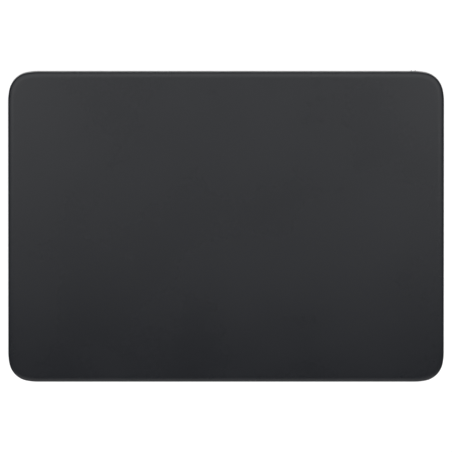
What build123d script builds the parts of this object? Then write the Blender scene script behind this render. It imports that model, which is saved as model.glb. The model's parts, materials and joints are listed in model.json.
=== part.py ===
from build123d import *

import os
from math import asin, cos, radians, sin

# Desktop trackpad: a black glass plate on four force-sensing flexures, in a wedge of aluminium.
# Millimetres. +X right, +Y to the thick rear edge, +Z up; the origin is on the desk, mid-footprint.
# "Depth" is a distance below the glass's top, square to the glass.

# Whole object
width = 160.0
plate_depth = 113.9
rear_rise = 6.0
foot_lift = 0.4
front_room = 0.5

# Plate outline: each corner is one arc, eased into both sides by a larger one
corner_radius = 8.0
easing_radius = 20.0
easing_angle = 12.0

# Glass plate
glass_t = 1.0
glass_edge_run = 1.5
glass_edge_drop = 0.45
glass_edge_steps = 5
glass_under_chamfer = 0.1

# Stack under the glass
glass_bond_t = 0.1
glass_bond_setback = 0.4
sensor_board_t = 0.6
stiffener_t = 0.4
stiffener_setback = 0.5
module_clear = 0.6

# Travel of the plate
press_travel = 0.2
under_gap = 0.5
rim_gap = 0.3

# Enclosure
wall_t = 1.8
skirt_t = 3.0
deck_t = 0.8
rim_chamfer = 0.15
base_fillet = 0.8

# Bottom cover and feet
cover_t = 0.6
cover_bond_t = 0.1
cover_inset = 1.5
cover_seam = 0.12
cover_chamfer = 0.1
foot_radius = 5.0
foot_sink = 0.3
foot_clear = 0.1
foot_chamfer = 0.15
foot_side_margin = 14.0
foot_end_margin = 12.95

# Flexures: a stamped spring leaf at each corner, screwed down at its outer end
leaf_t = 0.4
leaf_side_margin = 6.0
leaf_end_margin = 17.0
leaf_tip_radius = 5.0
leaf_neck_length = 12.0
leaf_neck_width = 10.0
leaf_root_length = 6.0
leaf_root_width = 14.0
leaf_relief_width = 2.4
leaf_seat_clear = 0.15
leaf_swing_clear = 1.0
leaf_window_radius = 3.0
leaf_screw_inset = 2.4
leaf_boss_drop = 0.8
gauge_length = 2.6
gauge_width = 1.6
gauge_t = 0.08
tip_disc_rim = 1.0
tip_disc_t = 0.2
gel_pad_rim = 0.4

# Small screws
screw_head_radius = 1.25
screw_head_h = 0.35
screw_shank_radius = 0.6
screw_drive_radius = 0.55
screw_drive_depth = 0.2
screw_hole_clear = 0.05
screw_tip_clear = 0.1
screw_relief_clear = 0.35

# Haptic motor: a row of coils under a row of magnets
haptic_battery_gap = 3.0
haptic_count = 4
backplate_t = 0.4
magnet_gap = 2.0
magnet_step = 0.5
magnet_t = 0.7
coil_air_gap = 0.25
coil_length = 13.0
coil_width = 14.0
coil_gap = 1.0
coil_band = 4.0
coil_t = 1.1
coil_corner_radius = 2.0
coil_bore_radius = 0.8
core_t = 0.5
core_rim = 0.5
core_post_clear = 0.2
haptic_window_clear = 1.5
haptic_bracket_t = 0.3
haptic_bracket_width = 12.0
haptic_bracket_clear = 1.0
haptic_ear_length = 6.0
haptic_screw_inset = 2.0
sheet_bend_radius = 0.4

# Battery
battery_side_margin = 28.0
battery_rear_margin = 14.0
battery_width = 35.0
battery_round = 1.2
battery_cover_gap = 0.3
battery_tape_t = 0.12
battery_tape_end = 5.0
battery_tape_edge = 3.5
battery_tape_width = 6.0
battery_main_gap = 4.0
battery_board_length = 5.0
battery_board_width = 27.0
battery_board_t = 1.0

# Main board and what is on it, each thing placed from the board's middle
main_board_side_margin = 4.0
main_board_rear_margin = 27.0
main_board_length = 25.0
main_board_width = 26.0
main_board_t = 0.8
main_board_round = 1.0
main_board_cover_gap = 0.3
board_post_radius = 1.6
board_post_inset = 2.0
can_along = -1.5
can_back = -4.0
can_length = 14.0
can_width = 11.0
can_h = 1.0
can_wall = 0.15
can_round = 0.3
radio_side = 6.0
radio_t = 0.6
processor_along = -0.5
processor_back = 6.5
processor_side = 7.0
processor_t = 0.8
charger_along = 8.5
charger_back = 1.0
charger_side = 4.0
charger_t = 0.7
connector_h = 0.9
connector_width = 2.2
sensor_plug_along = 1.5
sensor_plug_back = -7.7
sensor_plug_length = 10.0
socket_plug_along = -4.5
socket_plug_back = 7.5
socket_plug_length = 5.0
switch_plug_along = 4.0
switch_plug_back = 7.9
switch_plug_length = 4.0
battery_plug_along = -6.4
battery_plug_back = -2.0
battery_plug_length = 5.0

# Chips on the sensor board
touch_chip_x = 0.0
gauge_chip_x = 14.0
sensor_chip_end_margin = 17.0
touch_chip_side = 7.0
gauge_chip_side = 4.0
sensor_chip_t = 0.5
chip_window_clear = 1.0

# Ribbons
ribbon_t = 0.15
ribbon_bend_radius = 1.0
ribbon_land = 3.0
sensor_flex_width = 8.0
sensor_flex_rise = 5.0
sensor_flex_run = 4.1
sensor_slot_clear = 1.2
socket_flex_width = 4.0
socket_flex_drop_run = 2.5
socket_flex_clear = 0.6
socket_flex_tab = 6.0
switch_flex_width = 3.0
battery_lead_width = 4.0
battery_lead_t = 0.2

# Charging socket
socket_width = 7.7
socket_height = 2.6
socket_clear = 0.1
shell_wall = 0.3
shell_recess = 0.3
shell_length = 9.0
contact_count = 8
contact_pitch = 0.6
contact_width = 0.35
contact_length = 3.5
contact_t = 0.06
contact_setback = 2.5
housing_wall = 0.6
housing_side_wall = 1.9
housing_clear = 0.1
housing_length = 6.2
housing_round = 0.5
housing_bore_clear = 0.05
socket_bracket_t = 0.25
socket_bracket_width = 5.0
socket_ear_length = 4.4
socket_ear_rise = 2.45
socket_boss_radius = 1.5

# Power switch
switch_side_margin = 11.2
switch_travel = 2.0
knob_length = 2.5
knob_height = 1.7
knob_corner = 0.8
knob_clear = 0.1
knob_crown = 0.1
rib_count = 2
rib_pitch = 1.47
rib_width = 0.4
rib_height = 1.2
rib_proud = 0.35
recess_depth = 0.7
knob_back_clear = 0.08
film_t = 0.04
stem_length = 0.8
stem_height = 0.6
stem_reach = 1.9
stem_clear = 0.15
web_t = 0.8
slider_length = 1.6
slider_height = 0.9
slider_depth = 1.2
slider_grip_clear = 0.05
switch_body_length = 7.4
switch_body_height = 2.8
switch_body_depth = 3.2
switch_body_round = 0.4
switch_pocket_clear = 0.3
switch_seat_clear = 0.05
switch_bracket_t = 0.25
switch_bracket_width = 2.6
switch_ear_length = 3.6
switch_boss_radius = 1.2

overrun = 1.0

# The depth of each layer below the glass's top
board_depth = glass_t + glass_bond_t
stiffener_depth = board_depth + sensor_board_t
module_depth = stiffener_depth + stiffener_t
deck_depth = module_depth + under_gap
deck_under = deck_depth + deck_t
rim_depth = glass_t + rim_gap

# The heights above the desk, and the plate's own plane
cover_top = foot_lift + cover_t
front_height = cover_top + front_room + deck_under
rear_height = front_height + rear_rise
mid_height = front_height + rear_rise / 2
tilt = asin(rear_rise / plate_depth)
lean_shift = (rear_height - foot_lift) * sin(tilt) / 2
plate_plane = Plane(
    origin=(0, -lean_shift, mid_height),
    x_dir=(1, 0, 0),
    z_dir=(0, -sin(tilt), cos(tilt)),
)
plate_up = Axis((0, 0, 0), plate_plane.z_dir)
half_x = width / 2
half_y = plate_depth / 2
board_inset = wall_t + module_clear

corners = {
    "front_left": (-1, -1),
    "front_right": (1, -1),
    "rear_left": (-1, 1),
    "rear_right": (1, 1),
}


def at_depth(depth):
    """The plane parallel to the glass at this depth."""
    return plate_plane.offset(-depth)


def cover_depth(plate_y):
    """How deep the bottom cover lies below the glass's top, this far to the rear of the middle."""
    return (mid_height + plate_y * sin(tilt) - cover_top) / cos(tilt)


def cross_plane(plate_y):
    """A section across the trackpad, seen from the front: sketch X is +X, sketch Y is up."""
    origin = plate_plane.from_local_coords((0, plate_y, 0))
    return Plane(origin=origin, x_dir=(1, 0, 0), z_dir=-plate_plane.y_dir)


def long_plane(plate_x):
    """A section from front to rear: sketch X runs to the rear, sketch Y is up."""
    origin = plate_plane.from_local_coords((plate_x, 0, 0))
    return Plane(origin=origin, x_dir=plate_plane.y_dir, z_dir=(1, 0, 0))


def rear_plane(plate_x, depth, inward=0.0):
    """A plane on the rear wall, or this far inside it, seen from behind: sketch X is -X."""
    origin = plate_plane.from_local_coords((plate_x, half_y - inward, -depth))
    return Plane(origin=origin, x_dir=(-1, 0, 0), z_dir=plate_plane.y_dir)


def plate_outline(inset=0.0):
    """The plate's outline, drawn in by inset, with the same arc centres."""
    centre_in = easing_radius - (easing_radius - corner_radius) * cos(radians(easing_angle))
    reach = centre_in + (easing_radius - corner_radius) * sin(radians(easing_angle))
    side = half_x - inset
    end = half_y - inset
    with BuildSketch() as outline:
        with BuildLine():
            Line((side, 0), (side, half_y - reach))
            CenterArc((half_x - easing_radius, half_y - reach), easing_radius - inset, 0, easing_angle)
            CenterArc(
                (half_x - centre_in, half_y - centre_in),
                corner_radius - inset,
                easing_angle,
                90 - 2 * easing_angle,
            )
            CenterArc(
                (half_x - reach, half_y - easing_radius),
                easing_radius - inset,
                90 - easing_angle,
                easing_angle,
            )
            Line((half_x - reach, end), (0, end))
            mirror(about=Plane.YZ)
            mirror(about=Plane.XZ)
        make_face()
    return outline.sketch


def level_slab(inset, low, high):
    """The outline's prism between two level heights above the desk."""
    with BuildPart() as slab:
        with BuildSketch(plate_plane):
            add(plate_outline(inset))
        extrude(amount=-(rear_height + overrun))
        split(bisect_by=Plane.XY.offset(high), keep=Keep.BOTTOM)
        split(bisect_by=Plane.XY.offset(low), keep=Keep.TOP)
    return slab.part


def small_screw(shank_length):
    """A pan-head screw with its head up and its seat at height zero."""
    with BuildPart() as piece:
        with BuildSketch():
            Circle(screw_head_radius)
        extrude(amount=screw_head_h)
        with BuildSketch():
            Circle(screw_shank_radius)
        extrude(amount=-shank_length)
        with BuildSketch(Plane.XY.offset(screw_head_h)):
            RegularPolygon(screw_drive_radius, 6)
        extrude(amount=-screw_drive_depth, mode=Mode.SUBTRACT)
    return piece.part


def finish(piece, name):
    """Name the piece and write it out."""
    piece.part.label = name
    export_step(piece.part, "parts/" + name + ".step")


os.makedirs("parts", exist_ok=True)

# Places shared by the pieces that meet there
foot_x = half_x - foot_side_margin
foot_y = half_y - foot_end_margin

leaf_root_x = half_x - leaf_side_margin - leaf_root_length / 2
flexure_x = leaf_root_x - leaf_root_length / 2 - leaf_neck_length
flexure_y = half_y - leaf_end_margin
leaf_relief_x = flexure_x + (leaf_neck_length + leaf_tip_radius) / 2
leaf_relief_length = leaf_neck_length - leaf_tip_radius
leaf_screw_pitch = leaf_root_width - 2 * leaf_screw_inset
leaf_screw_places = [
    (side_x * leaf_root_x, side_y * flexure_y + end * leaf_screw_pitch / 2)
    for side_x, side_y in corners.values()
    for end in (-1, 1)
]
leaf_screw_length = deck_t + leaf_boss_drop - screw_tip_clear
tip_disc_radius = leaf_tip_radius - tip_disc_rim

main_board_x = half_x - main_board_side_margin - main_board_length / 2
main_board_y = half_y - main_board_rear_margin - main_board_width / 2
main_board_room = cover_depth(main_board_y - main_board_width / 2) - deck_under - main_board_cover_gap
board_post_l = main_board_room - main_board_t - can_h
can_x = main_board_x + can_along
can_y = main_board_y + can_back
sensor_plug_x = main_board_x + sensor_plug_along
sensor_plug_y = main_board_y + sensor_plug_back
socket_plug_x = main_board_x + socket_plug_along
socket_plug_y = main_board_y + socket_plug_back
switch_plug_x = main_board_x + switch_plug_along
switch_plug_y = main_board_y + switch_plug_back
battery_plug_x = main_board_x + battery_plug_along
battery_plug_y = main_board_y + battery_plug_back

battery_start_x = battery_side_margin - half_x
battery_end_x = main_board_x - main_board_length / 2 - battery_main_gap - battery_board_length
battery_length = battery_end_x - battery_start_x
battery_x = (battery_start_x + battery_end_x) / 2
battery_y = half_y - battery_rear_margin - battery_width / 2
battery_front_y = battery_y - battery_width / 2
battery_depth = deck_under + battery_tape_t
battery_t = cover_depth(battery_front_y) - battery_depth - battery_cover_gap

haptic_pitch = coil_length + coil_gap
haptic_depth_y = coil_width + 2 * core_rim
haptic_y = battery_front_y - haptic_battery_gap - haptic_depth_y / 2
haptic_screw_pitch = haptic_bracket_width - 2 * haptic_screw_inset
magnet_length = haptic_pitch - magnet_gap
magnet_width = coil_width - 2 * magnet_step
coil_bore_length = coil_length - 2 * coil_band
coil_bore_width = coil_width - 2 * coil_band
backplate_length = haptic_pitch * (haptic_count - 1) + magnet_length + 2 * haptic_bracket_clear
magnet_depth = module_depth + backplate_t
coil_depth = magnet_depth + magnet_t + press_travel + coil_air_gap
core_depth = coil_depth + coil_t
haptic_bracket_depth = core_depth + core_t
haptic_leg_x = backplate_length / 2 + haptic_bracket_clear
haptic_window_length = backplate_length + haptic_window_clear
haptic_ear_x = haptic_leg_x + haptic_ear_length / 2 + haptic_bracket_t
haptic_screw_places = [
    (side * haptic_ear_x, haptic_y + end * haptic_screw_pitch / 2) for side in (-1, 1) for end in (-1, 1)
]

main_board_depth = deck_under + board_post_l
main_board_under = main_board_depth + main_board_t
board_post_places = [
    (
        main_board_x + side_x * (main_board_length / 2 - board_post_inset),
        main_board_y + side_y * (main_board_width / 2 - board_post_inset),
    )
    for side_x, side_y in corners.values()
]

sensor_flex_start_y = sensor_plug_y + connector_width / 2
sensor_flex_low = main_board_depth - connector_h / 2
sensor_flex_high = stiffener_depth + ribbon_t / 2
sensor_bend_y = sensor_flex_start_y + sensor_flex_run
sensor_slot_y = sensor_bend_y + sensor_flex_rise / 2
sensor_slot_length = sensor_flex_rise + sensor_slot_clear
sensor_land_y = sensor_bend_y + sensor_flex_rise + ribbon_land / 2

port_depth = (rim_depth + (rear_height - foot_lift) / cos(tilt)) / 2

shell_depth_y = half_y - shell_recess
socket_inner_wall = half_y - skirt_t
housing_width = socket_width + 2 * housing_side_wall
housing_height = socket_height + 2 * housing_wall
housing_top_depth = port_depth - housing_height / 2
housing_start_y = socket_inner_wall - housing_clear
housing_mid_y = housing_start_y - housing_length / 2
socket_leg_x = housing_width / 2 + socket_bracket_t / 2
socket_ear_x = socket_leg_x + socket_ear_length / 2
socket_strap_depth = port_depth + housing_height / 2 + socket_bracket_t / 2
socket_ear_depth = socket_strap_depth - socket_ear_rise
socket_boss_end = socket_ear_depth - socket_bracket_t / 2

switch_x = half_x - switch_side_margin
recess_x = switch_x - switch_travel / 2
recess_length = knob_length + switch_travel + 2 * knob_clear
recess_height = knob_height + 2 * knob_clear
stem_slot_length = stem_length + switch_travel + 2 * stem_clear
stem_slot_height = stem_height + 2 * knob_clear
switch_wall_in = recess_depth + web_t
switch_body_in = switch_wall_in + switch_seat_clear
switch_channel_length = slider_length + switch_travel + 2 * stem_clear
switch_channel_height = slider_height + 2 * knob_clear
switch_leg_x = switch_body_length / 2 + switch_bracket_t / 2
switch_ear_x = recess_x - switch_leg_x - switch_ear_length / 2
switch_strap_depth = port_depth + switch_body_height / 2 + switch_bracket_t / 2
switch_ear_depth = port_depth - switch_body_height / 4
switch_boss_end = switch_ear_depth - switch_bracket_t / 2
switch_bracket_y = half_y - skirt_t - switch_bracket_width / 2 - switch_seat_clear

# Enclosure: one block of aluminium, with the plate's bay above its deck and the wedge hollow below
cover_recess = level_slab(cover_inset, 0, cover_top + cover_bond_t)

with BuildPart() as enclosure:
    with BuildSketch(at_depth(rim_depth)):
        add(plate_outline())
    extrude(amount=-rear_height)
    split(bisect_by=Plane.XY.offset(foot_lift), keep=Keep.TOP)
    fillet(enclosure.faces().sort_by(Axis.Z)[0].edges(), base_fillet)
    chamfer(enclosure.faces().sort_by(plate_up)[-1].edges(), rim_chamfer)
    # The bay for the plate and its boards
    with BuildSketch(at_depth(rim_depth)):
        add(plate_outline(wall_t))
    extrude(amount=-(deck_depth - rim_depth), mode=Mode.SUBTRACT)
    # The hollow under the deck, open below, and the ledge for the cover
    with BuildSketch(at_depth(deck_under)):
        add(plate_outline(skirt_t))
    extrude(amount=-rear_height, mode=Mode.SUBTRACT)
    add(cover_recess, mode=Mode.SUBTRACT)
    # Bosses and posts that hang from the deck
    with BuildSketch(at_depth(deck_under)):
        for side_x, side_y in corners.values():
            with Locations((side_x * leaf_root_x, side_y * flexure_y)):
                Rectangle(leaf_root_length, leaf_root_width)
    extrude(amount=-leaf_boss_drop)
    with BuildSketch(at_depth(deck_under)):
        with Locations(*board_post_places):
            Circle(board_post_radius)
    extrude(amount=-board_post_l)
    with BuildSketch(at_depth(deck_under)):
        with Locations((-socket_ear_x, housing_mid_y), (socket_ear_x, housing_mid_y)):
            Circle(socket_boss_radius)
    extrude(amount=-(socket_boss_end - deck_under))
    with BuildSketch(at_depth(deck_under)):
        with Locations((switch_ear_x, switch_bracket_y)):
            Circle(switch_boss_radius)
    extrude(amount=-(switch_boss_end - deck_under))
    # Seats and windows for the flexures
    with BuildSketch(at_depth(deck_depth)):
        for side_x, side_y in corners.values():
            with Locations((side_x * leaf_root_x, side_y * flexure_y)):
                Rectangle(leaf_root_length + 2 * leaf_seat_clear, leaf_root_width + 2 * leaf_seat_clear)
    extrude(amount=-leaf_t, mode=Mode.SUBTRACT)
    with BuildSketch(at_depth(deck_depth)):
        window_start = flexure_x - leaf_tip_radius - leaf_swing_clear
        window_end = leaf_root_x - leaf_root_length / 2
        window_mid = (window_start + window_end) / 2
        window_width = 2 * (leaf_tip_radius + leaf_swing_clear)
        for side_x, side_y in corners.values():
            with Locations((side_x * window_mid, side_y * flexure_y)):
                RectangleRounded(window_end - window_start, window_width, leaf_window_radius)
            with Locations((side_x * (window_mid + window_end) / 2, side_y * flexure_y)):
                Rectangle(window_end - window_mid, window_width)
    extrude(amount=-deck_t, mode=Mode.SUBTRACT)
    # The motor's window and the slot for the sensor ribbon
    with BuildSketch(at_depth(deck_depth)):
        with Locations((0, haptic_y)):
            RectangleRounded(
                haptic_window_length, haptic_depth_y + 2 * haptic_window_clear, coil_corner_radius
            )
        with Locations((sensor_plug_x, sensor_slot_y)):
            RectangleRounded(
                sensor_flex_width + 2 * sensor_slot_clear, sensor_slot_length, main_board_round
            )
    extrude(amount=-deck_t, mode=Mode.SUBTRACT)
    # Screw holes
    with BuildSketch(at_depth(deck_depth)):
        with Locations(*leaf_screw_places):
            Circle(screw_shank_radius + screw_hole_clear)
    extrude(amount=-(deck_t + leaf_boss_drop), mode=Mode.SUBTRACT)
    with BuildSketch(at_depth(deck_under)):
        with Locations(*haptic_screw_places):
            Circle(screw_shank_radius + screw_hole_clear)
    extrude(amount=deck_t, mode=Mode.SUBTRACT)
    with BuildSketch(at_depth(main_board_depth)):
        with Locations(*board_post_places):
            Circle(screw_shank_radius + screw_hole_clear)
    extrude(amount=board_post_l, mode=Mode.SUBTRACT)
    with BuildSketch(at_depth(socket_boss_end)):
        with Locations((-socket_ear_x, housing_mid_y), (socket_ear_x, housing_mid_y)):
            Circle(screw_shank_radius + screw_hole_clear)
    extrude(amount=socket_boss_end - deck_under, mode=Mode.SUBTRACT)
    with BuildSketch(at_depth(switch_boss_end)):
        with Locations((switch_ear_x, switch_bracket_y)):
            Circle(screw_shank_radius + screw_hole_clear)
    extrude(amount=switch_boss_end - deck_under, mode=Mode.SUBTRACT)
    # Rear wall: the charging opening, and the power switch's recess, stem slot and inner pocket
    with BuildSketch(rear_plane(0, port_depth, -overrun)):
        SlotOverall(socket_width, socket_height)
    extrude(amount=-(skirt_t + 2 * overrun), mode=Mode.SUBTRACT)
    with BuildSketch(rear_plane(recess_x, port_depth, -overrun)):
        SlotOverall(recess_length, recess_height)
    extrude(amount=-(recess_depth + overrun), mode=Mode.SUBTRACT)
    with BuildSketch(rear_plane(recess_x, port_depth)):
        SlotOverall(stem_slot_length, stem_slot_height)
    extrude(amount=-skirt_t, mode=Mode.SUBTRACT)
    with BuildSketch(rear_plane(recess_x, port_depth, switch_wall_in)):
        Rectangle(
            switch_body_length + 2 * switch_pocket_clear, switch_body_height + 2 * switch_pocket_clear
        )
    extrude(amount=-(skirt_t - switch_wall_in + overrun), mode=Mode.SUBTRACT)
finish(enclosure, "enclosure")

# Bottom cover, the ring of adhesive that holds it to the ledge, and the feet let into it
with BuildPart() as bottom_cover:
    add(level_slab(cover_inset + cover_seam, foot_lift, cover_top))
    chamfer(bottom_cover.faces().sort_by(Axis.Z)[0].edges(), cover_chamfer)
    with BuildSketch(Plane.XY.offset(foot_lift)):
        with GridLocations(2 * foot_x, 2 * foot_y, 2, 2):
            Circle(foot_radius + foot_clear)
    extrude(amount=foot_sink, mode=Mode.SUBTRACT)
finish(bottom_cover, "bottom_cover")

ring_hole = level_slab(skirt_t, foot_lift, cover_top + cover_bond_t + overrun)

with BuildPart() as cover_bond:
    add(level_slab(cover_inset + cover_seam, cover_top, cover_top + cover_bond_t))
    add(ring_hole, mode=Mode.SUBTRACT)
finish(cover_bond, "cover_bond")

for corner, (side_x, side_y) in corners.items():
    with BuildPart() as foot:
        with BuildSketch():
            with Locations((side_x * foot_x, side_y * foot_y)):
                Circle(foot_radius)
        extrude(amount=foot_lift + foot_sink)
        chamfer(foot.edges().group_by(Axis.Z)[0], foot_chamfer)
    finish(foot, "foot_" + corner)

# Touch plate: glass, bond, sensor board with its chips, stiffener
with BuildPart() as touch_glass:
    with BuildSketch(at_depth(glass_t)):
        add(plate_outline())
    extrude(amount=glass_t - glass_edge_drop)
    chamfer(touch_glass.faces().sort_by(plate_up)[0].edges(), glass_under_chamfer)
    # The rounded edge is a quarter of an ellipse
    for step in range(glass_edge_steps + 1):
        turn = radians(90 * step / glass_edge_steps)
        with BuildSketch(at_depth(glass_edge_drop * (1 - sin(turn)))):
            add(plate_outline(glass_edge_run * (1 - cos(turn))))
    loft(ruled=True)
finish(touch_glass, "touch_glass")

with BuildPart() as glass_bond:
    with BuildSketch(at_depth(board_depth)):
        add(plate_outline(board_inset + glass_bond_setback))
    extrude(amount=glass_bond_t)
finish(glass_bond, "glass_bond")

with BuildPart() as sensor_board:
    with BuildSketch(at_depth(stiffener_depth)):
        add(plate_outline(board_inset))
    extrude(amount=sensor_board_t)
finish(sensor_board, "sensor_board")

sensor_chip_y = sensor_chip_end_margin - half_y

with BuildPart() as touch_controller:
    with BuildSketch(at_depth(stiffener_depth)):
        with Locations((touch_chip_x, sensor_chip_y)):
            Rectangle(touch_chip_side, touch_chip_side)
    extrude(amount=-sensor_chip_t)
finish(touch_controller, "touch_controller")

with BuildPart() as gauge_amplifier:
    with BuildSketch(at_depth(stiffener_depth)):
        with Locations((gauge_chip_x, sensor_chip_y)):
            Rectangle(gauge_chip_side, gauge_chip_side)
    extrude(amount=-sensor_chip_t)
finish(gauge_amplifier, "gauge_amplifier")

with BuildPart() as stiffener:
    with BuildSketch(at_depth(module_depth)):
        add(plate_outline(board_inset + stiffener_setback))
        with Locations(*leaf_screw_places):
            Circle(screw_head_radius + screw_relief_clear, mode=Mode.SUBTRACT)
        with Locations((touch_chip_x, sensor_chip_y)):
            window = touch_chip_side + 2 * chip_window_clear
            RectangleRounded(window, window, chip_window_clear, mode=Mode.SUBTRACT)
        with Locations((gauge_chip_x, sensor_chip_y)):
            window = gauge_chip_side + 2 * chip_window_clear
            RectangleRounded(window, window, chip_window_clear, mode=Mode.SUBTRACT)
        with Locations((sensor_plug_x, (sensor_slot_y + sensor_land_y) / 2)):
            RectangleRounded(
                sensor_flex_width + 2 * sensor_slot_clear,
                sensor_land_y - sensor_slot_y + sensor_slot_length,
                main_board_round,
                mode=Mode.SUBTRACT,
            )
    extrude(amount=stiffener_t)
finish(stiffener, "stiffener")

# Flexures, with their strain gauges, screws, tip discs and gel pads
for corner, (side_x, side_y) in corners.items():
    with BuildPart() as flexure:
        with BuildSketch(at_depth(deck_depth)):
            with Locations((side_x * flexure_x, side_y * flexure_y)):
                Circle(leaf_tip_radius)
            neck_x = leaf_root_x - leaf_root_length / 2 - leaf_seat_clear
            with Locations((side_x * neck_x, side_y * flexure_y)):
                Rectangle(2 * leaf_seat_clear, leaf_neck_width)
            make_hull()
            with Locations((side_x * leaf_root_x, side_y * flexure_y)):
                Rectangle(leaf_root_length, leaf_root_width)
            with Locations((side_x * leaf_relief_x, side_y * flexure_y)):
                SlotOverall(leaf_relief_length, leaf_relief_width, mode=Mode.SUBTRACT)
            for end in (-1, 1):
                with Locations((side_x * leaf_root_x, side_y * flexure_y + end * leaf_screw_pitch / 2)):
                    Circle(screw_shank_radius + screw_hole_clear, mode=Mode.SUBTRACT)
        extrude(amount=-leaf_t)
    finish(flexure, "flexure_" + corner)

with BuildPart() as strain_gauges:
    gauge_offset = (leaf_relief_width + leaf_neck_width) / 4
    with BuildSketch(at_depth(deck_depth)):
        for side_x, side_y in corners.values():
            for end in (-1, 1):
                with Locations((side_x * leaf_relief_x, side_y * flexure_y + end * gauge_offset)):
                    Rectangle(gauge_length, gauge_width)
    extrude(amount=gauge_t)
finish(strain_gauges, "strain_gauges")

with BuildPart(at_depth(deck_depth)) as flexure_screws:
    with Locations(*leaf_screw_places):
        add(small_screw(leaf_screw_length))
finish(flexure_screws, "flexure_screws")

with BuildPart() as flexure_tips:
    with BuildSketch(at_depth(deck_depth)):
        with GridLocations(2 * flexure_x, 2 * flexure_y, 2, 2):
            Circle(tip_disc_radius)
    extrude(amount=tip_disc_t)
finish(flexure_tips, "flexure_tips")

with BuildPart() as gel_pads:
    with BuildSketch(at_depth(deck_depth - tip_disc_t)):
        with GridLocations(2 * flexure_x, 2 * flexure_y, 2, 2):
            Circle(tip_disc_radius - gel_pad_rim)
    extrude(amount=under_gap - tip_disc_t)
finish(gel_pads, "gel_pads")

# Haptic motor: magnets under the plate, coils on the enclosure
with BuildPart() as haptic_backplate:
    with BuildSketch(at_depth(module_depth)):
        with Locations((0, haptic_y)):
            RectangleRounded(backplate_length, haptic_depth_y, coil_bore_radius)
    extrude(amount=-backplate_t)
finish(haptic_backplate, "haptic_backplate")

with BuildPart() as haptic_magnets:
    with BuildSketch(at_depth(magnet_depth)):
        with Locations((0, haptic_y)):
            with GridLocations(haptic_pitch, 0, haptic_count, 1):
                Rectangle(magnet_length, magnet_width)
    extrude(amount=-magnet_t)
finish(haptic_magnets, "haptic_magnets")

with BuildPart() as haptic_coils:
    with BuildSketch(at_depth(coil_depth)):
        with Locations((0, haptic_y)):
            with GridLocations(haptic_pitch, 0, haptic_count, 1):
                RectangleRounded(coil_length, coil_width, coil_corner_radius)
                RectangleRounded(
                    coil_bore_length, coil_bore_width, coil_bore_radius, mode=Mode.SUBTRACT
                )
    extrude(amount=-coil_t)
finish(haptic_coils, "haptic_coils")

with BuildPart() as haptic_core:
    with BuildSketch(at_depth(core_depth)):
        with Locations((0, haptic_y)):
            RectangleRounded(backplate_length, haptic_depth_y, coil_bore_radius)
    extrude(amount=-core_t)
    with BuildSketch(at_depth(core_depth)):
        with Locations((0, haptic_y)):
            with GridLocations(haptic_pitch, 0, haptic_count, 1):
                RectangleRounded(
                    coil_bore_length - 2 * core_post_clear,
                    coil_bore_width - 2 * core_post_clear,
                    coil_bore_radius - core_post_clear,
                )
    extrude(amount=coil_t - core_post_clear)
finish(haptic_core, "haptic_core")

with BuildPart() as haptic_bracket:
    with BuildSketch(cross_plane(haptic_y - haptic_bracket_width / 2)):
        with BuildLine():
            ear_end = haptic_leg_x + haptic_ear_length
            ear_level = -(deck_under + haptic_bracket_t / 2)
            floor_level = -(haptic_bracket_depth + haptic_bracket_t / 2)
            FilletPolyline(
                (-ear_end, ear_level),
                (-haptic_leg_x, ear_level),
                (-haptic_leg_x, floor_level),
                (haptic_leg_x, floor_level),
                (haptic_leg_x, ear_level),
                (ear_end, ear_level),
                radius=sheet_bend_radius,
            )
        trace(line_width=haptic_bracket_t)
    extrude(amount=-haptic_bracket_width)
    with BuildSketch(at_depth(deck_under)):
        with Locations(*haptic_screw_places):
            Circle(screw_shank_radius + screw_hole_clear)
    extrude(amount=-haptic_bracket_t, mode=Mode.SUBTRACT)
finish(haptic_bracket, "haptic_bracket")

with BuildPart(at_depth(deck_under + haptic_bracket_t)) as haptic_screws:
    with Locations(*haptic_screw_places):
        add(small_screw(haptic_bracket_t + deck_t - screw_tip_clear), rotation=(180, 0, 0))
finish(haptic_screws, "haptic_screws")

# Battery: a pouch cell taped to the deck, its protection board at one end, and its lead
battery_board_depth = battery_depth + (battery_t - battery_board_t) / 2

with BuildPart() as battery_tape:
    with BuildSketch(at_depth(deck_under)):
        with Locations((battery_x, battery_y)):
            with GridLocations(0, battery_width - 2 * battery_tape_edge - battery_tape_width, 1, 2):
                Rectangle(battery_length - 2 * battery_tape_end, battery_tape_width)
    extrude(amount=-battery_tape_t)
finish(battery_tape, "battery_tape")

with BuildPart() as battery_cell:
    with BuildSketch(at_depth(battery_depth)):
        with Locations((battery_x, battery_y)):
            Rectangle(battery_length, battery_width)
    extrude(amount=-battery_t)
    fillet(battery_cell.edges().filter_by(Axis.X), battery_round)
finish(battery_cell, "battery_cell")

with BuildPart() as battery_board:
    with BuildSketch(at_depth(battery_board_depth)):
        with Locations((battery_end_x + battery_board_length / 2, battery_y)):
            Rectangle(battery_board_length, battery_board_width)
    extrude(amount=-battery_board_t)
finish(battery_board, "battery_board")

with BuildPart() as battery_lead:
    lead_start = battery_end_x + battery_board_length
    lead_end = battery_plug_x - connector_width / 2
    with BuildSketch(at_depth(main_board_depth)):
        with Locations(((lead_start + lead_end) / 2, battery_plug_y)):
            Rectangle(lead_end - lead_start, battery_lead_width)
    extrude(amount=battery_lead_t)
finish(battery_lead, "battery_lead")

# Main board, its chips below, its connectors above, and the screws that hold it to the posts
with BuildPart() as main_board:
    with BuildSketch(at_depth(main_board_depth)):
        with Locations((main_board_x, main_board_y)):
            RectangleRounded(main_board_length, main_board_width, main_board_round)
        with Locations(*board_post_places):
            Circle(screw_shank_radius + screw_hole_clear, mode=Mode.SUBTRACT)
    extrude(amount=-main_board_t)
finish(main_board, "main_board")

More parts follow.
